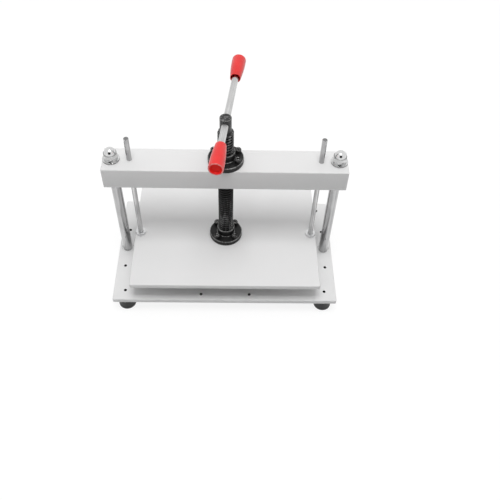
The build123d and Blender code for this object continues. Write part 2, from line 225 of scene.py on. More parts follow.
def powder_coat(place):
    cloud = place.noise(9.0, 4.0)
    peel = place.noise(700.0, 1.0)
    grain = place.noise(2600.0, 0.0)
    scuff = place.noise(40.0, 5.0, stretch=(1.0, 0.12, 1.0)).ramp(0.55, 0.8)
    return {
        "Base Color": (cloud + grain * 0.15).ramp(0.3, 0.85).tint(COAT_DARK, COAT_LIGHT),
        "Roughness": 0.46 + cloud * 0.1 - scuff * 0.08,
        "Normal": (peel + grain * 0.4).bump(0.02 * MM, 0.5),
    }


# Bare steel darkened to near black: painted shade inside the tapped holes and on the walls of
# the posts' seats.
def hole_shade_steel(place):
    return {
        "Base Color": place.noise(1500.0).tint((0.012, 0.012, 0.012), (0.04, 0.04, 0.04)),
        "Roughness": 0.6,
    }


POST_X = 171.0 * MM
SIDE_HOLE_Y = 40.0 * MM
FOOT_HOLE = (165.5 * MM, 91.0 * MM)
FRONT_HOLE = (40.0 * MM, -98.0 * MM)
TAPPED_REACH = 3.5 * MM
SEAT_INNER = 8.6 * MM
SEAT_OUTER = 11.0 * MM
SEAT_LOWEST = -1.0 * MM
WALL_TILT = 0.9
LEVEL_TILT = 0.98


def left_and_right(x, y):
    return [Vector((-x, y)), Vector((x, y))]


post_axes = left_and_right(POST_X, 0.0)
tapped_holes = left_and_right(*FRONT_HOLE)
for x, y in ((POST_X, SIDE_HOLE_Y), FOOT_HOLE):
    tapped_holes += left_and_right(x, -y) + left_and_right(x, y)


def in_tapped_hole(face):
    off = min((face.center.xy - hole).length for hole in tapped_holes)
    return abs(face.normal.z) < WALL_TILT and off < TAPPED_REACH


def on_seat_wall(face):
    """The wall and the eased edge of the milled seat that a post stands in."""
    off = min((face.center.xy - axis).length for axis in post_axes)
    turned_up = abs(face.normal.z) < LEVEL_TILT and face.center.z > SEAT_LOWEST
    return turned_up and SEAT_INNER < off < SEAT_OUTER


grey_coat = finish("light grey powder coat", powder_coat)
hole_shade = finish("tapped steel darkened as painted shade", hole_shade_steel)
bed = eased("bed_plate_coated", "bed_plate", PLATE_EASE, grey_coat)
# The walls of the tapped holes and of the posts' seats take the near-black steel as painted
# shade.
dress(bed, hole_shade, lambda face: in_tapped_hole(face) or on_seat_wall(face))
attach(bed, "frame")
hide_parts("bed_plate")


# Feet: black rubber bells, moulded with a rim at the floor and a deep recess below.
# Each is held up by a cap screw and a washer in its recess.
CORNER_SHARE = 0.45
ARC_STEPS = (0, 0.25, 0.5, 0.75, 1)
ON_AXIS = 1e-9


def rounded(outline, radius, loop=False):
    """The outline with each corner turned into a small arc."""
    points = []
    for i, corner in enumerate(outline):
        here = Vector(corner)
        if not loop and i in (0, len(outline) - 1):
            points.append(here)
            continue
        back = Vector(outline[i - 1]) - here
        ahead = Vector(outline[(i + 1) % len(outline)]) - here
        reach = radius / math.tan(back.angle(ahead) / 2)
        reach = min(reach, CORNER_SHARE * back.length, CORNER_SHARE * ahead.length)
        start = here + back.normalized() * reach
        end = here + ahead.normalized() * reach
        for t in ARC_STEPS:
            points.append(start.lerp(here, t).lerp(here.lerp(end, t), t))
    return points


def plain(angle, radius, height):
    return radius


def turned(outline, sides, trim=plain, loop=False):
    """A solid turned about Z from (radius, height) points, closed on the axis.
    The trim gives the radius at an angle, for hexagons and knurls."""
    shape = bmesh.new()
    rings = []
    for radius, height in outline:
        if radius < ON_AXIS:
            rings.append([shape.verts.new((0, 0, height))] * sides)
            continue
        ring = []
        for k in range(sides):
            angle = 2 * math.pi * k / sides
            r = trim(angle, radius, height)
            ring.append(shape.verts.new((r * math.cos(angle), r * math.sin(angle), height)))
        rings.append(ring)
    pairs = list(zip(rings, rings[1:]))
    if loop:
        pairs.append((rings[-1], rings[0]))
    for low, high in pairs:
        for k in range(sides):
            n = (k + 1) % sides
            corners = dict.fromkeys((low[k], low[n], high[n], high[k]))
            if len(corners) > 2:
                shape.faces.new(corners)
    bmesh.ops.recalc_face_normals(shape, faces=shape.faces)
    return shape


def weighted(piece):
    """Settles a piece with its wide faces shaded flat and its small arcs smooth."""
    modifier = piece.modifiers.new("weighted normals", "WEIGHTED_NORMAL")
    modifier.keep_sharp = True
    return settle(piece)


def middle(node):
    """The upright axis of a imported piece, and its lowest and highest level."""
    low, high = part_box(node)
    return (low.x + high.x) / 2, (low.y + high.y) / 2, low.z, high.z


def radius_of(node):
    """Half the width of a packed round piece."""
    low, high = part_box(node)
    return (high.x - low.x) / 2


FOOT_NODES = ("foot_front_left", "foot_front_right", "foot_rear_left", "foot_rear_right")
FOOT_TOP = 12.0 * MM
FOOT_FLOOR = 14.25 * MM
FOOT_RIM = 5.0 * MM
FOOT_GROOVE = 0.5 * MM
FOOT_RECESS = 7.0 * MM
FOOT_WEB = 12.4 * MM
FOOT_BORE = 3.3 * MM
FOOT_ROUND = 0.8 * MM
FOOT_FLARE = 1.6
FOOT_SIDES = 64
RUBBER_DARK = (0.006, 0.006, 0.006)
RUBBER_DUSTY = (0.035, 0.034, 0.033)


def rubber(place):
    grain = place.noise(1500.0, 3.0)
    dust = place.noise(160.0, 4.0).ramp(0.5, 0.75)
    return {
        "Base Color": (dust * 0.5 + grain * 0.2).tint(RUBBER_DARK, RUBBER_DUSTY),
        "Roughness": 0.42 + dust * 0.2,
        "Normal": grain.bump(0.06 * MM, 0.6),
    }


black_rubber = finish("black rubber", rubber)
for node in FOOT_NODES:
    x, y, floor, top = middle(node)
    rim = floor + FOOT_RIM
    bell = [
        (FOOT_BORE, top - FOOT_WEB),
        (FOOT_RECESS, top - FOOT_WEB),
        (FOOT_RECESS, floor),
        (FOOT_FLOOR, floor),
        (FOOT_FLOOR, rim),
        (FOOT_FLOOR - FOOT_GROOVE, rim + FOOT_GROOVE),
    ]
    for step in (0.25, 0.5, 0.75):
        flare = (FOOT_FLOOR - FOOT_GROOVE - FOOT_TOP) * (1 - step) ** FOOT_FLARE
        bell.append((FOOT_TOP + flare, rim + (top - rim) * step))
    bell += [(FOOT_TOP, top), (FOOT_BORE, top)]
    shape = turned(rounded(bell, FOOT_ROUND, loop=True), FOOT_SIDES, loop=True)
    shape.transform(Matrix.Translation((x, y, 0)))
    foot = weighted(piece_of(f"{node}_rubber", shape, black_rubber))
    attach(foot, "frame")
    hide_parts(node)


# Cap screws: turned steel with a knurled head and a hexagon socket. Those of the feet
# and the posts are zinc plated, and point up from under the bed.
def inputs_of(tree, *sockets):
    """Gives a geometry tree its named inputs and its one output."""
    for name, kind in (("Geometry", "NodeSocketGeometry"), *sockets):
        tree.interface.new_socket(name, in_out="INPUT", socket_type=kind)
    tree.interface.new_socket("Geometry", in_out="OUTPUT", socket_type="NodeSocketGeometry")
    return tree.nodes.new("NodeGroupInput").outputs


def run(tree, piece, **values):
    """Runs a geometry tree on a piece with these inputs, and keeps only the mesh."""
    modifier = piece.modifiers.new(tree.name, "NODES")
    modifier.node_group = tree
    for socket in tree.interface.items_tree:
        if socket.name in values:
            modifier[socket.identifier] = values[socket.name]
    return settle(piece)


def close_tree(tree, made, material):
    """Ends a geometry tree: instances made real, and one material on all of it."""
    real = made.node("GeometryNodeRealizeInstances", {}, {"Geometry": made})
    done = real.node("GeometryNodeSetMaterial", {}, {"Geometry": real, "Material": material})
    output = tree.nodes.new("NodeGroupOutput")
    tree.links.new(done.output, output.inputs[0])


set_out = bpy.data.node_groups.new("set out on points", "GeometryNodeTree")
given = inputs_of(
    set_out,
    ("Fastener", "NodeSocketObject"),
    ("Tilt", "NodeSocketFloat"),
    ("Seed", "NodeSocketInt"),
    ("Finish", "NodeSocketMaterial"),
)
points = Socket(set_out, given["Geometry"])
fastener = points.node(
    "GeometryNodeObjectInfo", {}, {"Object": Socket(set_out, given["Fastener"])}, "Geometry"
)
turn = points.node(
    "FunctionNodeRandomValue",
    {"data_type": "FLOAT"},
    {2: -math.pi, 3: math.pi, "Seed": Socket(set_out, given["Seed"])},
    1,
)
lie = points.node(
    "ShaderNodeCombineXYZ", {}, {"X": Socket(set_out, given["Tilt"]), "Z": turn}
)
placed = points.node(
    "GeometryNodeInstanceOnPoints",
    {},
    {"Points": points, "Instance": fastener, "Rotation": lie},
)
close_tree(set_out, placed, Socket(set_out, given["Finish"]))

UPRIGHT = 0.0
UPSIDE_DOWN = math.pi


def spread(name, pattern, places, tilt, seed, material):
    """The pattern's mesh at each place, each turned on its own axis."""
    shape = bmesh.new()
    for place in places:
        shape.verts.new(place)
    piece = piece_of(name, shape, material)
    run(set_out, piece, Fastener=pattern, Tilt=tilt, Seed=seed, Finish=material)
    return piece


KNURLS = 36
KNURL_DEPTH = 0.018
HEAD_SHARE = 5 / 6
SOCKET_SHARE = 5 / 12
EDGE_SHARE = 0.07
SOCKET_MARGIN = 1.2
NEARLY = 0.999
HALF_FLAT = math.pi / 6


def hexagon(angle):
    """How far a hexagon reaches at this angle, where its flats are 1 from its axis."""
    return 1 / math.cos((angle % (2 * HALF_FLAT)) - HALF_FLAT)


def cap_screw(diameter, length):
    """A socket cap screw with its head's seat at Z = 0, to be set out and then removed."""
    head = diameter * HEAD_SHARE
    socket = diameter * SOCKET_SHARE
    rise = diameter
    shank = diameter / 2
    edge = diameter * EDGE_SHARE

    def shaped(angle, radius, height):
        if height > 0 and radius < socket * SOCKET_MARGIN:
            return radius * math.cos(HALF_FLAT) * hexagon(angle)
        if radius > head * NEARLY and edge < height < rise - edge:
            return radius * (1 - KNURL_DEPTH * (1 + math.cos(KNURLS * angle)))
        return radius

    corner = socket / math.cos(HALF_FLAT)
    outline = [
        (0, -length),
        (shank - edge, -length),
        (shank, edge - length),
        (shank, 0),
        (head - edge, 0),
        (head, edge),
        (head, edge * 1.8),
        (head, rise - edge * 2.2),
        (head, rise - edge * 1.2),
        (head - edge, rise),
        (corner * 1.19, rise),
        (corner, rise - edge),
        (corner, rise / 2),
        (corner * 0.6, rise / 2 - edge),
        (0, rise / 2 - edge * 2),
    ]
    return piece_of("pattern", turned(outline, KNURLS * 4, shaped), None)


BED_THICKNESS = 8.0 * MM
ZINC_DULL = (0.60, 0.61, 0.62)
ZINC_CLEAN = (0.74, 0.74, 0.74)
HOLE_SHADE_BLACK = (0.02, 0.02, 0.02)
HOLE_SHADE_EDGE = 0.5 * MM
HOLE_SHADE_SHARE = 0.6


def zinc(place):
    """Bright zinc, darkened to near black where it lies inside the bed's tapped holes: painted
    shade in the holes.
    """
    cloud = place.noise(220.0, 4.0)
    level = place.part("Z")
    clean = cloud.ramp(0.3, 0.7).tint(ZINC_DULL, ZINC_CLEAN)
    shade_in_hole = level.ramp(-BED_THICKNESS, -BED_THICKNESS * HOLE_SHADE_SHARE) * level.ramp(HOLE_SHADE_EDGE, 0.0)
    return {
        "Base Color": shade_in_hole.tint(clean, HOLE_SHADE_BLACK),
        "Metallic": 1.0,
        "Roughness": 0.3 + cloud * 0.15,
        "Normal": place.noise(1800.0).bump(0.01 * MM, 0.4),
    }


zinc_plate = finish("zinc plate", zinc)
FOOT_SCREW = (6.0 * MM, 20.0 * MM)
POST_SCREW = (8.0 * MM, 25.0 * MM)
foot_places = [
    (*middle(node)[:2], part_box("foot_washers")[0].z) for node in FOOT_NODES
]
post_places = [
    (*middle(node)[:2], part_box("post_washers")[0].z) for node in ("post_left", "post_right")
]
for node, size, places, seed in (
    ("foot_screws", FOOT_SCREW, foot_places, 3),
    ("post_screws", POST_SCREW, post_places, 5),
):
    pattern = cap_screw(*size)
    screws = spread(f"{node}_plated", pattern, places, UPSIDE_DOWN, seed, zinc_plate)
    bpy.data.objects.remove(pattern)
    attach(screws, "frame")
    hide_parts(node)


# Washers under the heads of the feet's and the posts' screws: stamped steel, zinc
# plated, with edges that the punch has rolled a little.
WASHER_ROLL = 0.3 * MM
WASHER_SIDES = 72


def ring(inner, outer, low, high, edge):
    """A turned ring about Z, with its corners rounded."""
    section = [(inner, low), (outer, low), (outer, high), (inner, high)]
    return turned(rounded(section, edge, loop=True), WASHER_SIDES, loop=True)


def washer(outer, inner, thickness):
    """A stamped washer that stands on Z = 0, its edges a little rolled."""
    shape = ring(inner, outer, 0, thickness, WASHER_ROLL)
    return weighted(piece_of("pattern", shape, None))


WASHERS = {
    "foot_washers": (6.7 * MM, 3.3 * MM, 1.6 * MM),
    "post_washers": (8.0 * MM, 4.3 * MM, 1.6 * MM),
}
for (node, size), places in zip(WASHERS.items(), (foot_places, post_places)):
    pattern = washer(*size)
    washers = spread(f"{node}_plated", pattern, places, UPRIGHT, 1, zinc_plate)
    bpy.data.objects.remove(pattern)
    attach(washers, "frame")
    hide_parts(node)


# Posts: 16 mm round bar, turned down to a stud above, then ground and polished.
# The grinding leaves faint lines along the bar and finer rings round it.
STUD_RADIUS = 6.0 * MM
POST_EASE = 0.5 * MM
POST_DARK = (0.38, 0.38, 0.385)
POST_LIGHT = (0.56, 0.56, 0.56)
POST_ROUGH = 0.03
POST_SIDES = 96


def ground_steel(centre, dark, light, roughness):
    """Polished bar on an upright axis at this centre."""

    def recipe(place):
        along = place.noise(420.0, 3.0, (1.0, 1.0, 40.0), centre)
        rings = place.noise(900.0, 2.0, (12.0, 12.0, 1.0), centre)
        cloud = place.noise(30.0, 3.0)
        return {
            "Base Color": (along * 0.6 + cloud * 0.4).ramp(0.35, 0.65).tint(dark, light),
            "Metallic": 1.0,
            "Roughness": roughness + along * 0.04 + cloud * 0.02,
            "Normal": (along * 0.5 + rings * 0.5).bump(0.002 * MM, 0.5),
        }

    return recipe


for node in ("post_left", "post_right"):
    x, y, low, stud_top = middle(node)
    radius = radius_of(node)
    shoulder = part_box("crossbeam")[0].z
    outline = [
        (0, low),
        (radius, low),
        (radius, shoulder),
        (STUD_RADIUS, shoulder),
        (STUD_RADIUS, stud_top),
        (0, stud_top),
    ]
    shape = turned(rounded(outline, POST_EASE), POST_SIDES)
    shape.transform(Matrix.Translation((x, y, 0)))
    steel = finish(
        f"ground steel of {node}", ground_steel((x, y, 0), POST_DARK, POST_LIGHT, POST_ROUGH)
    )
    post = weighted(piece_of(f"{node}_ground", shape, steel))
    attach(post, "frame")
    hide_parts(node)


# Crossbeam: one solid bar of steel, bored for the screw nut, the guide rods and the
# studs, with the same grey coat as the bed.
beam = eased("crossbeam_coated", "crossbeam", PLATE_EASE, grey_coat)
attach(beam, "frame")
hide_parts("crossbeam")


# Washers and cap nuts on the studs: a flat washer, a split spring washer and a domed
# nut on each, all bright plated.
NUT_FLATS = 9.5 * MM
NUT_HEX_HEIGHT = 7.0 * MM
NUT_DOME = 9.0 * MM
NUT_CHAMFER = 1.0 * MM
NUT_FACE = 0.97
NUT_SIDES = 96
CROWN_SLOPE = 0.5
CROWN_STEPS = (0, 0.3, 0.6, 0.8, 1)
CROWN_GAP = 0.001 * MM
DOME_STEPS = 14
DOME_FILLET = 0.25 * MM
DOME_SEAT = 0.3 * MM
TURN_LEFT = math.radians(-11)
TURN_RIGHT = math.radians(27)
TOP_WASHER = (13.0 * MM, 6.3 * MM)
SPRING_INNER = 6.3 * MM
SPRING_OUTER = 10.5 * MM
SPRING_GAP = math.radians(4)
SPRING_SLANT = math.radians(24)
SPRING_ROUND = 0.35 * MM
SPRING_STEPS = 80
FRONT = -math.pi / 2
PLATING_HAZY = (0.60, 0.605, 0.61)
PLATING_CLEAR = (0.72, 0.72, 0.715)
SHADED_RIM_DARK = (0.20, 0.20, 0.20)
SHADED_RIM_LIGHT = (0.42, 0.42, 0.42)
RIM_TILT = 0.6
CORNER_TILT = 0.2


def plating(place):
    haze = place.noise(500.0, 3.0)
    return {
        "Base Color": haze.ramp(0.3, 0.7).tint(PLATING_HAZY, PLATING_CLEAR),
        "Metallic": 1.0,
        "Roughness": 0.07 + haze * 0.06,
        "Normal": place.noise(260.0, 2.0).bump(0.02 * MM, 0.35),
    }


# Dull dark grey for the washers' rims, the spring washers' corners and the crease under the
# nuts' domes: partly the sheared edge's own dull steel, and partly painted shade that outlines
# the parts.
def stamped_edge_and_shade(place):
    tears = place.noise(900.0, 2.0, (1.0, 1.0, 4.0))
    return {
        "Base Color": tears.tint(SHADED_RIM_DARK, SHADED_RIM_LIGHT),
        "Metallic": 1.0,
        "Roughness": 0.4,
        "Normal": tears.bump(0.03 * MM, 0.5),
    }


def on_rim(face):
    return abs(face.normal.z) < RIM_TILT


def on_corner(face):
    return CORNER_TILT < abs(face.normal.z) < LEVEL_TILT


bright = finish("bright plating", plating)
edge_shade = finish("stamped edge darkened as painted shade", stamped_edge_and_shade)
stud_axes = [middle(node)[:2] for node in ("post_left", "post_right")]
flat_low, flat_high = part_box("top_washers")
pattern = washer(*TOP_WASHER, flat_high.z - flat_low.z)
flat_places = [(x, y, flat_low.z) for x, y in stud_axes]
flat_washers = spread("top_washers_plated", pattern, flat_places, UPRIGHT, 1, bright)
bpy.data.objects.remove(pattern)
# The flat washers' rims are darkened: painted shade round the washers.
dress(flat_washers, edge_shade, on_rim)
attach(flat_washers, "frame")
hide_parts("top_washers")

spring_low, spring_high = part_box("spring_washers")
section = rounded(
    [
        (SPRING_INNER, spring_low.z),
        (SPRING_OUTER, spring_low.z),
        (SPRING_OUTER, spring_high.z),
        (SPRING_INNER, spring_high.z),
    ],
    SPRING_ROUND,
    loop=True,
)
shape = bmesh.new()
for x, y in stud_axes:
    rings = []
    for step in range(SPRING_STEPS + 1):
        coil = []
        for radius, height in section:
            slant = SPRING_SLANT * (height - spring_low.z) / (spring_high.z - spring_low.z)
            sweep = SPRING_GAP + (2 * math.pi - 2 * SPRING_GAP) * step / SPRING_STEPS
            angle = FRONT + sweep + slant
            place = (x + radius * math.cos(angle), y + radius * math.sin(angle), height)
            coil.append(shape.verts.new(place))
        rings.append(coil)
    for a, b in zip(rings, rings[1:]):
        for k in range(len(section)):
            n = (k + 1) % len(section)
            shape.faces.new((a[k], a[n], b[n], b[k]))
    shape.faces.new(rings[0])
    shape.faces.new(rings[-1])
bmesh.ops.recalc_face_normals(shape, faces=shape.faces)
springs = weighted(piece_of("spring_washers_plated", shape, bright))
# The spring washers' corners are darkened: painted shade along the split coils.
dress(springs, edge_shade, on_corner)
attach(springs, "frame")
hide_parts("spring_washers")


def hexagonal(angle, radius, height):
    """Trims a turned blank to the nut's six flats, under its dome."""
    if height > NUT_HEX_HEIGHT * NEARLY:
        return radius
    return min(radius, NUT_FLATS * hexagon(angle))


def add_to(shape, other):
    """Adds another shape's faces to this one."""
    kept = bpy.data.meshes.new("kept")
    other.to_mesh(kept)
    other.free()
    shape.from_mesh(kept)


corner = NUT_FLATS / math.cos(HALF_FLAT)
crown = [
    (corner - NUT_CHAMFER + NUT_CHAMFER * t, NUT_CHAMFER * CROWN_SLOPE * t)
    for t in CROWN_STEPS
]
outline = [(0, 0), (NUT_FLATS * NUT_FACE, 0), *crown]
outline += [(r, NUT_HEX_HEIGHT - z - CROWN_GAP) for r, z in reversed(crown)]
outline.append((NUT_DOME + DOME_FILLET, NUT_HEX_HEIGHT))
outline.append((NUT_DOME, NUT_HEX_HEIGHT + DOME_SEAT))
for step in range(1, DOME_STEPS + 1):
    rise = math.pi / 2 * step / DOME_STEPS
    outline.append((NUT_DOME * math.cos(rise), NUT_HEX_HEIGHT + NUT_DOME * math.sin(rise)))
outline[-1] = (0, NUT_HEX_HEIGHT + NUT_DOME)
nut_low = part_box("cap_nuts")[0].z
shape = bmesh.new()
for (x, y), turn_about in zip(stud_axes, (TURN_LEFT, TURN_RIGHT)):
    nut = turned(outline, NUT_SIDES, hexagonal)
    nut.transform(Matrix.Translation((x, y, nut_low)) @ Matrix.Rotation(turn_about, 4, "Z"))
    add_to(shape, nut)
nuts = weighted(piece_of("cap_nuts_plated", shape, bright))
dome_seat = nut_low + NUT_HEX_HEIGHT
# The crease where the dome meets the hexagon is darkened as painted shade.
dress(nuts, edge_shade, lambda face: abs(face.center.z - dome_seat) < DOME_SEAT)
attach(nuts, "frame")
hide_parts("cap_nuts")


# Screw nut: a round flange with a boss, turned from steel and blackened in hot salts,
# then oiled. Four cap screws hold it down on the beam.
BOLT_CIRCLE = 21.0 * MM
FLANGE_EASE = 0.3 * MM
BLACK_DARK = (0.004, 0.004, 0.0045)
BLACK_WORN = (0.022, 0.022, 0.0215)
# Levels and grey of the painted highlight streaks on the spindle's thread.
STREAK_HIGH = 150.0 * MM
STREAK_LOW = 75.0 * MM
STREAK_RISE = 8.0 * MM
BEAM_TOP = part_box("crossbeam")[1].z
STREAK_HIGHLIGHT_GREY = (0.38, 0.38, 0.38)
EDGE_WEAR_DARK = (0.03, 0.03, 0.03)
EDGE_WEAR_HIGHLIGHT = (0.30, 0.30, 0.295)
TOOL_MARKS = 9000.0


def black_oxide(place):
    flattened = {0: place, 1: (1, 1, 0)}
    across = place.node("ShaderNodeVectorMath", {"operation": "MULTIPLY"}, flattened)
    length = {"operation": "LENGTH"}
    wave = across.node("ShaderNodeVectorMath", length, {0: across}, "Value") * TOOL_MARKS
    rings = wave.sum("SINE", wave) * 0.5 + 0.5
    cloud = place.noise(90.0, 4.0)
    fine = place.noise(900.0, 2.0)
    return {
        "Base Color": (cloud * 0.7 + fine * 0.4).ramp(0.35, 0.8).tint(BLACK_DARK, BLACK_WORN),
        "Roughness": 0.4 + cloud * 0.2,
        "Specular IOR Level": 0.15,
        "Coat Weight": 0.2,
        "Coat Roughness": 0.12,
        "Normal": (rings * 0.5 + fine * 0.5).bump(0.015 * MM, 0.5),
    }


def thread_with_painted_streaks(place):
    """Black oxide with painted highlight streaks up the thread, clear of the beam."""
    sockets = black_oxide(place)
    level = place.part("Z")
    clear = level.ramp(STREAK_HIGH, STREAK_LOW) + level.ramp(BEAM_TOP, BEAM_TOP + STREAK_RISE)
    streaks = place.noise(330.0, 4.0, (1.0, 1.0, 9.0)).ramp(0.48, 0.72)
    spots = place.noise(420.0, 2.0).ramp(0.35, 0.65)
    highlight_and_wear = clear * streaks * (0.35 + spots * 0.65)
    sockets["Coat Weight"] = 0.2 + clear * 0.4
    sockets["Base Color"] = highlight_and_wear.tint(sockets["Base Color"], STREAK_HIGHLIGHT_GREY)
    return sockets


# Bright grey for the eased edges of blackened parts: partly edges worn bright, and partly
# painted highlight on the rims.
def black_worn_and_highlighted(place):
    highlight_and_wear = place.noise(500.0, 3.0)
    return {
        "Base Color": highlight_and_wear.ramp(0.3, 0.7).tint(EDGE_WEAR_DARK, EDGE_WEAR_HIGHLIGHT),
        "Metallic": 0.9,
        "Roughness": 0.3,
        "Normal": highlight_and_wear.bump(0.01 * MM, 0.5),
    }


black = finish("oiled black oxide", black_oxide)
black_thread_streaked = finish("black oxide with painted highlight streaks along the thread", thread_with_painted_streaks)
worn_and_highlighted = finish("black oxide rubbed bright on its edges", black_worn_and_highlighted)
nut = eased("screw_nut_blackened", "screw_nut", FLANGE_EASE, black)
# The flange's eased edges are worn and painted with highlights.
dress(nut, worn_and_highlighted, on_corner)
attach(nut, "frame")
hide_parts("screw_nut")


# Flange screws: four socket cap screws in each flange, blackened like the flanges.
# Their edges are worn bright where they were tightened, and painted highlights on those edges
# and on the floors of the sockets stand in for glints.
def flange_places(half_angle, height):
    """The four screw places of a flange, two each side of the width axis."""
    return [
        (
            BOLT_CIRCLE * math.cos(side + sign * half_angle),
            BOLT_CIRCLE * math.sin(side + sign * half_angle),
            height,
        )
        for side in (0, math.pi)
        for sign in (-1, 1)
    ]


FLANGE_SCREW = 6.0 * MM
NUT_SCREWS = (18.0 * MM, math.radians(30))
HOUSING_SCREWS = (14.0 * MM, math.radians(45))
FLANGE_SCREWS = (
    ("screw_nut_screws", "frame", *NUT_SCREWS, 11),
    ("thrust_housing_screws", "platen", *HOUSING_SCREWS, 12),
)
SOCKET_FLOOR = 0.6 * MM
SOCKET_REACH = 1.0 * MM
for node, body, length, half_angle, seed in FLANGE_SCREWS:
    pattern = cap_screw(FLANGE_SCREW, length)
    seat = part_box(node)[1].z - FLANGE_SCREW
    screws = spread(
        f"{node}_blackened", pattern, flange_places(half_angle, seat), UPRIGHT, seed, black
    )
    bpy.data.objects.remove(pattern)
    middle_level = seat + FLANGE_SCREW / 2

    def glints(face):
        """Painted glints: the floor of the socket, and the edges of the head's top, worn and
        painted with highlights.
        """
        above = face.center.z - middle_level
        floor = abs(above + SOCKET_FLOOR) < SOCKET_REACH and face.normal.z > 0.5
        return floor or on_corner(face) and above > SOCKET_REACH

    dress(screws, worn_and_highlighted, glints)
    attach(screws, body)
    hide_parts(node)


# Platen: the same coated plate as the bed, drilled part way for the guide rods and
# the housing's screws, so that its pressing face stays whole.
platen = eased("press_platen_coated", "press_platen", PLATE_EASE, grey_coat)
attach(platen, "platen")
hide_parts("press_platen")


# Guide rods and their collars: 8 mm ground rods, screwed into the platen and locked
# by a plated collar each. They slide in the beam and keep the platen square.
ROD_DARK = (0.34, 0.34, 0.345)
ROD_LIGHT = (0.64, 0.64, 0.64)
ROD_ROUGH = 0.05
ROD_POINT = 0.6 * MM
ROD_ROUND = 0.3 * MM
ROD_SIDES = 64
ROD_END = 0.05 * MM
COLLAR_FIT = 0.05 * MM
COLLAR_ROUND = 0.6 * MM
SAWN_DARK = (0.16, 0.16, 0.16)
SAWN_LIGHT = (0.30, 0.30, 0.30)


def sawn_steel(place):
    cuts = place.noise(1400.0, 2.0, (1.0, 14.0, 1.0))
    return {
        "Base Color": cuts.tint(SAWN_DARK, SAWN_LIGHT),
        "Metallic": 1.0,
        "Roughness": 0.5,
        "Normal": cuts.bump(0.03 * MM, 0.6),
    }


sawn = finish("sawn steel", sawn_steel)
for side in ("left", "right"):
    node = f"guide_rod_{side}"
    x, y, low, high = middle(node)
    radius = radius_of(node)
    outline = [
        (0, low),
        (radius, low),
        (radius, high - ROD_POINT),
        (radius - ROD_POINT, high),
        (0, high),
    ]
    shape = turned(rounded(outline, ROD_ROUND), ROD_SIDES)
    shape.transform(Matrix.Translation((x, y, 0)))
    steel = finish(
        f"ground steel of guide rod {side}",
        ground_steel((x, y, 0), ROD_DARK, ROD_LIGHT, ROD_ROUGH),
    )
    rod = weighted(piece_of(f"{node}_ground", shape, steel))
    dress(rod, sawn, lambda face: face.center.z > high - ROD_END)
    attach(rod, "platen")
    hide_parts(node)
    node = f"guide_collar_{side}"
    x, y, low, high = middle(node)
    shape = ring(radius + COLLAR_FIT, radius_of(node), low, high, COLLAR_ROUND)
    shape.transform(Matrix.Translation((x, y, 0)))
    collar = weighted(piece_of(f"{node}_plated", shape, zinc_plate))
    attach(collar, "platen")
    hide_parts(node)


# Thrust housing: the twin of the nut's flange, bored to turn on the spindle's end.
# A bronze washer inside takes the push of the screw.
housing = eased("thrust_housing_blackened", "thrust_housing", FLANGE_EASE, black)
# The housing's eased edges are worn and painted with highlights.
dress(housing, worn_and_highlighted, on_corner)
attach(housing, "platen")
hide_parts("thrust_housing")


BRONZE_DARK = (0.42, 0.26, 0.10)
BRONZE_LIGHT = (0.60, 0.40, 0.17)
THRUST_BORE = 7.06 * MM
THRUST_ROUND = 0.2 * MM


def bronze(place):
    cloud = place.noise(300.0, 3.0)
    return {
        "Base Color": cloud.ramp(0.3, 0.7).tint(BRONZE_DARK, BRONZE_LIGHT),
        "Metallic": 1.0,
        "Roughness": 0.3 + cloud * 0.15,
        "Normal": place.noise(1500.0).bump(0.01 * MM, 0.4),
    }


thrust_low, thrust_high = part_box("thrust_washer")
shape = ring(THRUST_BORE, thrust_high.x, thrust_low.z, thrust_high.z, THRUST_ROUND)
thrust = weighted(piece_of("thrust_washer_bronze", shape, finish("bearing bronze", bronze)))
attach(thrust, "platen")
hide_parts("thrust_washer")


# Spindle: a 24 mm trapezoidal screw of 5 mm pitch, right-hand, cut and blackened. Its
# hub on top is drilled across for the bar, and a journal turns in the housing.
THREAD_CREST = 12.0 * MM
THREAD_ROOT = 9.25 * MM
THREAD_BEVEL = 1.2 * MM
THREAD_PITCH = 5.0 * MM
THREAD_SIDES = 60
THREAD_ACROSS = 8
THREAD_WELD = 0.002 * MM
CREST_MIDDLE = 3 / 16
FLANK_END = 5 / 16
FLANK_SLOPE = 8.0
HUB_RADIUS = 8.75 * MM
HUB_LEAD = 0.3 * MM
HUB_EDGE = 0.8 * MM
HUB_ROUND = 0.5 * MM
HUB_BARE = 10.0 * MM
JOURNAL_RADIUS = 7.0 * MM
BAR_RISE = 14.5 * MM
BAR_FIT = 0.06 * MM
DRILL_REACH = 30.0 * MM
DRILL_SIDES = 64

thread = bpy.data.node_groups.new("trapezoidal thread", "GeometryNodeTree")
given = inputs_of(
    thread,
    ("Crest", "NodeSocketFloat"),
    ("Root", "NodeSocketFloat"),
    ("Bevel", "NodeSocketFloat"),
    ("Pitch", "NodeSocketFloat"),
    ("Bottom", "NodeSocketFloat"),
    ("Top", "NodeSocketFloat"),
    ("Turns", "NodeSocketInt"),
    ("Sides", "NodeSocketInt"),
    ("Finish", "NodeSocketMaterial"),
)
crest, root, bevelled, pitch, bottom, top, turns, sides = [
    Socket(thread, given[name])
    for name in ("Crest", "Root", "Bevel", "Pitch", "Bottom", "Top", "Turns", "Sides")
]
strip = crest.node(
    "GeometryNodeMeshGrid",
    {},
    {
        "Size X": 1.0,
        "Size Y": 1.0,
        "Vertices X": turns * sides + 1,
        "Vertices Y": THREAD_ACROSS + 1,
    },
)
here = crest.node("GeometryNodeInputPosition", {}, {})
along = here.part("X") + 0.5
across = here.part("Y") + 0.5
from_crest = (across - CREST_MIDDLE).size()
from_crest = from_crest.least(1 - from_crest)
form = root + (crest - root) * ((FLANK_END - from_crest) * FLANK_SLOPE).clamped(0.0, 1.0)
height = bottom + pitch * (along * turns + across - 1.0)
height = height.clamped(bottom, top)
run_out = (root + height - bottom).least(root + (top - height) * FLANK_SLOPE)
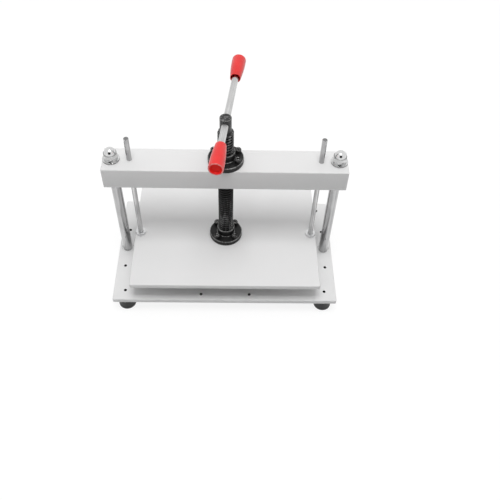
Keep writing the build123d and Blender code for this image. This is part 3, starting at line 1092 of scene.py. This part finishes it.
radius = form.least(run_out).least(crest - bevelled + top - height)
angle = along * turns * (2 * math.pi)
wound = strip.node(
    "ShaderNodeCombineXYZ",
    {},
    {
        "X": radius * angle.sum("COSINE", angle),
        "Y": radius * angle.sum("SINE", angle),
        "Z": height,
    },
)
cut = strip.node("GeometryNodeSetPosition", {}, {"Geometry": strip, "Position": wound})
joined = cut.node(
    "GeometryNodeMergeByDistance", {}, {"Geometry": cut, "Distance": THREAD_WELD}
)
close_tree(thread, joined, Socket(thread, given["Finish"]))

spindle_low, spindle_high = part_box("spindle")
shoulder = thrust_high.z
slide = next(joint for joint in frame["joints"] if joint["name"] == "handle_slide")
bar_direction = Vector(slide["axis"])
bar_low, bar_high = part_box("tommy_bar")
bar_middle = (bar_low + bar_high) / 2
bar_radius = (bar_high.z - bar_low.z) / 2
thread_top = bar_middle.z - BAR_RISE

cut_thread = piece_of("spindle_thread", bmesh.new(), black)
run(
    thread,
    cut_thread,
    Crest=THREAD_CREST,
    Root=THREAD_ROOT,
    Bevel=THREAD_BEVEL,
    Pitch=THREAD_PITCH,
    Bottom=shoulder,
    Top=thread_top,
    Turns=math.ceil((thread_top - shoulder) / THREAD_PITCH) + 1,
    Sides=THREAD_SIDES,
    Finish=black_thread_streaked,
)
hub_outline = [
    (THREAD_ROOT, thread_top),
    (HUB_RADIUS, thread_top + HUB_LEAD),
    (HUB_RADIUS, spindle_high.z - HUB_EDGE),
    (HUB_RADIUS - HUB_EDGE, spindle_high.z),
    (0, spindle_high.z),
]
hub = turned([(0, thread_top)] + rounded(hub_outline, HUB_ROUND), THREAD_SIDES)
hub_piece = piece_of("hub", hub, black)
bore = bar_radius + BAR_FIT
drill_outline = [
    (0, -DRILL_REACH),
    (bore, -DRILL_REACH),
    (bore, DRILL_REACH),
    (0, DRILL_REACH),
]
drill = turned(drill_outline, DRILL_SIDES)
to_bar = Vector((0, 0, 1)).rotation_difference(bar_direction).to_matrix().to_4x4()
drill.transform(Matrix.Translation((0, 0, bar_middle.z)) @ to_bar)
drill_piece = piece_of("drill", drill, black)
hole = hub_piece.modifiers.new("cross hole", "BOOLEAN")
hole.object = drill_piece
hole.operation = "DIFFERENCE"
hole.solver = "EXACT"
settle(hub_piece)
bpy.data.objects.remove(drill_piece)
journal_outline = [
    (0, spindle_low.z),
    (JOURNAL_RADIUS, spindle_low.z),
    (JOURNAL_RADIUS, shoulder),
    (THREAD_ROOT, shoulder),
    (0, shoulder),
]
shape = bmesh.new()
shape.from_mesh(cut_thread.data)
shape.from_mesh(hub_piece.data)
add_to(shape, turned(journal_outline, THREAD_SIDES))
bpy.data.objects.remove(cut_thread)
bpy.data.objects.remove(hub_piece)
spindle = weighted(piece_of("spindle_threaded", shape, black_thread_streaked))
hub_level = thread_top + HUB_BARE
# The hub's eased edges are worn and painted with highlights.
dress(spindle, worn_and_highlighted, lambda face: on_corner(face) and face.center.z > hub_level)
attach(spindle, "spindle")
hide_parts("spindle")


# Retaining washer and screw: steel, on the end of the spindle's journal, under the
# housing's web. They hold the platen to the spindle when it is wound up.
for node, material in (("retaining_washer", zinc_plate), ("retaining_screw", black)):
    frame["nodes"][node].data.materials.clear()
    frame["nodes"][node].data.materials.append(material)


# Tommy bar: 10 mm bright drawn bar that slides through the hub. Drawing leaves long
# fine lines, and the hub rubs it a little duller.
BAR_DARK = (0.44, 0.44, 0.44)
BAR_BRIGHT = (0.70, 0.70, 0.695)
BAR_SIDES = 72
BAR_ROUND = 1.0 * MM
DULL_FAR = 45.0 * MM
DULL_NEAR = 15.0 * MM


def bright_bar(place):
    lean = -math.atan2(bar_direction.x, bar_direction.y)
    turned_place = place.node(
        "ShaderNodeMapping",
        {"vector_type": "TEXTURE"},
        {"Vector": place, "Rotation": (0.0, 0.0, lean)},
    )
    lines = turned_place.noise(700.0, 3.0, (1.0, 45.0, 1.0))
    rubbed_dull = turned_place.part("Y").size().ramp(DULL_FAR, DULL_NEAR)
    cloud = place.noise(45.0, 3.0)
    return {
        "Base Color": (lines * 0.6 + cloud * 0.4).ramp(0.3, 0.7).tint(BAR_DARK, BAR_BRIGHT),
        "Metallic": 1.0,
        "Roughness": 0.16 + lines * 0.08 + cloud * 0.04 + rubbed_dull * 0.3,
        "Normal": lines.bump(0.01 * MM, 0.5),
    }


bar_slant = abs(bar_direction.x) * 2 * bar_radius
bar_half = ((bar_high.y - bar_low.y) - bar_slant) / bar_direction.y / 2
outline = [(0, -bar_half), (bar_radius, -bar_half), (bar_radius, bar_half), (0, bar_half)]
shape = turned(rounded(outline, BAR_ROUND), BAR_SIDES)
bar_place = Matrix.Translation(bar_middle) @ to_bar
shape.transform(bar_place)
bar = weighted(piece_of("tommy_bar_bright", shape, finish("bright drawn bar", bright_bar)))
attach(bar, "handle")
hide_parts("tommy_bar")


# Grips: tapered caps moulded in glossy red plastic and pushed onto the bar's ends,
# with a cupped mouth, a slight belly and a dished end.
GRIP_LENGTH = 47.0 * MM
GRIP_ON_BAR = 38.0 * MM
GRIP_MOUTH = 8.0 * MM
GRIP_END = 10.75 * MM
GRIP_BELLY = 0.9 * MM
GRIP_CUP = 7.0 * MM
GRIP_CUP_DEPTH = 8.0 * MM
GRIP_DISH = 8.75 * MM
GRIP_DISH_FLOOR = 7.25 * MM
GRIP_DISH_DEPTH = 3.0 * MM
GRIP_STEPS = 10
GRIP_FIT = 0.05 * MM
GRIP_ROUND = 1.2 * MM
GRIP_SIDES = 96
GRIP_RIM = 0.45 * MM
HOLLOW_SPARE = 0.1 * MM
RED_DARK = (0.74, 0.018, 0.018)
RED_LIGHT = (0.84, 0.028, 0.027)
HOLLOW_SHADE_RED_DARK = (0.88, 0.014, 0.010)
HOLLOW_SHADE_RED_LIGHT = (0.95, 0.020, 0.014)
RIM_HIGHLIGHT_RED = (0.88, 0.05, 0.045)
RIM_HIGHLIGHT_PALE = (0.95, 0.30, 0.28)


def red_plastic(place):
    cloud = place.noise(60.0, 3.0)
    peel = place.noise(420.0, 1.0)
    return {
        "Base Color": cloud.ramp(0.3, 0.7).tint(RED_DARK, RED_LIGHT),
        "Roughness": 0.26 + cloud * 0.1,
        "Specular IOR Level": 0.4,
        "Coat Weight": 0.1,
        "Coat Roughness": 0.1,
        "Normal": (peel + place.noise(1600.0) * 0.3).bump(0.02 * MM, 0.5),
    }


# A deeper, more saturated red for the dish and the cup: painted shade in the grips' hollows.
def red_plastic_with_hollow_shade(place):
    cloud = place.noise(60.0, 3.0)
    return {
        "Base Color": cloud.ramp(0.3, 0.7).tint(HOLLOW_SHADE_RED_DARK, HOLLOW_SHADE_RED_LIGHT),
        "Roughness": 0.4,
        "Specular IOR Level": 0.1,
        "Normal": place.noise(420.0, 1.0).bump(0.02 * MM, 0.5),
    }


# Pale pinkish red on the end rim: a painted highlight, mottled by noise.
def red_rim_painted_highlight(place):
    scuff = place.noise(300.0, 4.0)
    return {
        "Base Color": scuff.ramp(0.35, 0.65).tint(RIM_HIGHLIGHT_RED, RIM_HIGHLIGHT_PALE),
        "Roughness": 0.3,
        "Coat Weight": 0.4,
        "Coat Roughness": 0.1,
    }


red = finish("glossy red plastic", red_plastic)
rim_highlight = finish("red plastic painted pale on the rim as a highlight", red_rim_painted_highlight)
hollow_shade_red = finish("red plastic deepened in the hollows as painted shade", red_plastic_with_hollow_shade)
grip_bore = bar_radius + GRIP_FIT
dish_floor = GRIP_LENGTH - GRIP_DISH_DEPTH
grip_outline = [
    (0, GRIP_ON_BAR),
    (grip_bore, GRIP_ON_BAR),
    (grip_bore, GRIP_CUP_DEPTH),
    (GRIP_CUP, GRIP_CUP_DEPTH),
    (GRIP_CUP, 0),
]
for step in range(GRIP_STEPS + 1):
    t = step / GRIP_STEPS
    taper = GRIP_MOUTH + (GRIP_END - GRIP_MOUTH) * t
    grip_outline.append((taper + GRIP_BELLY * math.sin(math.pi * t), GRIP_LENGTH * t))
grip_outline += [(GRIP_DISH, GRIP_LENGTH), (GRIP_DISH_FLOOR, dish_floor), (0, dish_floor)]
for node, turned_round in (("grip_far", 0.0), ("grip_near", math.pi)):
    shape = turned(rounded(grip_outline, GRIP_ROUND), GRIP_SIDES)
    axis = bar_place @ Matrix.Rotation(turned_round, 4, "X")
    start = bar_half - GRIP_ON_BAR
    shape.transform(axis @ Matrix.Translation((0, 0, start)))
    grip = weighted(piece_of(f"{node}_red", shape, red))

    def in_hollow(face):
        """The dish in the grip's end, and the cup in its mouth."""
        here = axis.inverted() @ face.center
        up = here.z - start
        off = here.xy.length
        dished = up > dish_floor - HOLLOW_SPARE and off < GRIP_DISH
        cupped = up < GRIP_CUP_DEPTH + HOLLOW_SPARE and off < GRIP_CUP
        return dished or cupped

    def on_grip_rim(face):
        here = axis.inverted() @ face.center
        return here.z - start > GRIP_LENGTH - GRIP_RIM and here.xy.length > GRIP_DISH

    # The dish and the cup take the deeper red as painted shade.
    dress(grip, hollow_shade_red, in_hollow)
    # The end rim is painted pale as a highlight.
    dress(grip, rim_highlight, on_grip_rim)
    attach(grip, "handle")
    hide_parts(node)


# Studio: a white table and backdrop, a soft lamp overhead and a little to the front,
# light from above and behind, and the camera where the photograph was taken from.
CAMERA_PLACE = (11.445 * MM, -697.053 * MM, 869.51 * MM)
CAMERA_PITCH = math.radians(51.388)
CAMERA_YAW = math.radians(2.540)
CAMERA_ROLL = math.radians(2.567)
CAMERA_LENS = 45.63
SENSOR_WIDTH = 36.0
TABLE_SIZE = 12.0
TABLE_GREY = 0.80
TABLE_LIFT = 0.62
TABLE_GLOW = 0.85
SKY_BEHIND = 0.7
SKY_ABOVE = 1.5
SKY_AHEAD = 0.02
SKY_CENTRE = (0.0, -math.sin(math.radians(10)), math.cos(math.radians(10)))
DARK_GAP = (0.0, -math.cos(math.radians(28)), math.sin(math.radians(28)))
HORIZON = (-0.3, 0.3)
SKY_RIM = (0.8, 0.95)
GAP_RIM = (0.87, 0.93)
LAMP_PLACE = (0.0, -0.62, 3.2)
LAMP_SIZE = 1.16
LAMP_POWER = 41.0

camera_data = bpy.data.cameras.new("camera")
camera_data.lens = CAMERA_LENS
camera_data.sensor_width = SENSOR_WIDTH
camera = bpy.data.objects.new("camera", camera_data)
bpy.context.scene.collection.objects.link(camera)
ahead = Vector(
    (
        math.sin(CAMERA_YAW) * math.cos(CAMERA_PITCH),
        math.cos(CAMERA_YAW) * math.cos(CAMERA_PITCH),
        -math.sin(CAMERA_PITCH),
    )
)
level = Vector((math.cos(CAMERA_YAW), -math.sin(CAMERA_YAW), 0))
upward = level.cross(ahead)
rightward = math.cos(CAMERA_ROLL) * level + math.sin(CAMERA_ROLL) * upward
upward = math.cos(CAMERA_ROLL) * upward - math.sin(CAMERA_ROLL) * level
facing = Matrix((rightward, upward, -ahead)).transposed().to_4x4()
camera.matrix_world = Matrix.Translation(CAMERA_PLACE) @ facing
bpy.context.scene.camera = camera

shape = bmesh.new()
half = TABLE_SIZE / 2
corners = ((-half, -half), (half, -half), (half, half), (-half, half))
shape.faces.new([shape.verts.new((x, y, cad_low.z)) for x, y in corners])


def shown(tree):
    """1 for the camera's rays and for those of mirrors and glass, and 0 for light."""
    seen = Socket(tree).node("ShaderNodeLightPath", {}, {}, "Is Camera Ray")
    rays = seen.output.node.outputs
    mirrored = Socket(tree, rays["Is Glossy Ray"])
    through = Socket(tree, rays["Is Transmission Ray"])
    return (seen + mirrored + through).clamped(0.0, 1.0)


white = bpy.data.materials.new("white table")
white.use_nodes = True
tree = white.node_tree
tree.nodes.clear()
bare = shown(tree)
grey = TABLE_GREY - bare * TABLE_LIFT
channels = {"Red": grey, "Green": grey, "Blue": grey}
colour = grey.node("ShaderNodeCombineColor", {}, channels)
matt = grey.node("ShaderNodeBsdfDiffuse", {}, {"Color": colour})
glow = bare.node(
    "ShaderNodeEmission", {}, {"Color": (1, 1, 1, 1), "Strength": bare * TABLE_GLOW}
)
both = matt.node("ShaderNodeAddShader", {}, {0: matt, 1: glow})
surface = tree.nodes.new("ShaderNodeOutputMaterial")
tree.links.new(both.output, surface.inputs["Surface"])
table = piece_of("table", shape, white)
table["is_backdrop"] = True

world = bpy.data.worlds.new("studio")
bpy.context.scene.world = world
world.use_nodes = True
tree = world.node_tree
tree.nodes.clear()
toward = Socket(tree).node("ShaderNodeTexCoord", {}, {}, "Generated")


def nearness(direction):
    """How nearly a ray points this way: 1 where it does, and 0 at right angles."""
    ends = {0: toward, 1: direction}
    return toward.node("ShaderNodeVectorMath", {"operation": "DOT_PRODUCT"}, ends, "Value")


behind = toward.part("Y").ramp(*HORIZON)
light = SKY_AHEAD + behind * (SKY_BEHIND - SKY_AHEAD)
light = light.most(nearness(SKY_CENTRE).ramp(*SKY_RIM) * SKY_ABOVE)
light = light.most(shown(tree) * (1 - nearness(DARK_GAP).ramp(*GAP_RIM)))
sky = light.node("ShaderNodeBackground", {}, {"Color": (1, 1, 1, 1), "Strength": light})
surface = tree.nodes.new("ShaderNodeOutputWorld")
tree.links.new(sky.output, surface.inputs["Surface"])

lamp_data = bpy.data.lights.new("soft lamp", "AREA")
lamp_data.shape = "SQUARE"
lamp_data.size = LAMP_SIZE
lamp_data.energy = LAMP_POWER
lamp = bpy.data.objects.new("soft lamp", lamp_data)
bpy.context.scene.collection.objects.link(lamp)
lamp.location = LAMP_PLACE
lamp.rotation_mode = "QUATERNION"
lamp.rotation_quaternion = (-Vector(LAMP_PLACE)).to_track_quat("-Z", "Y")

bpy.context.scene.view_settings.view_transform = "Standard"

low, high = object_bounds()
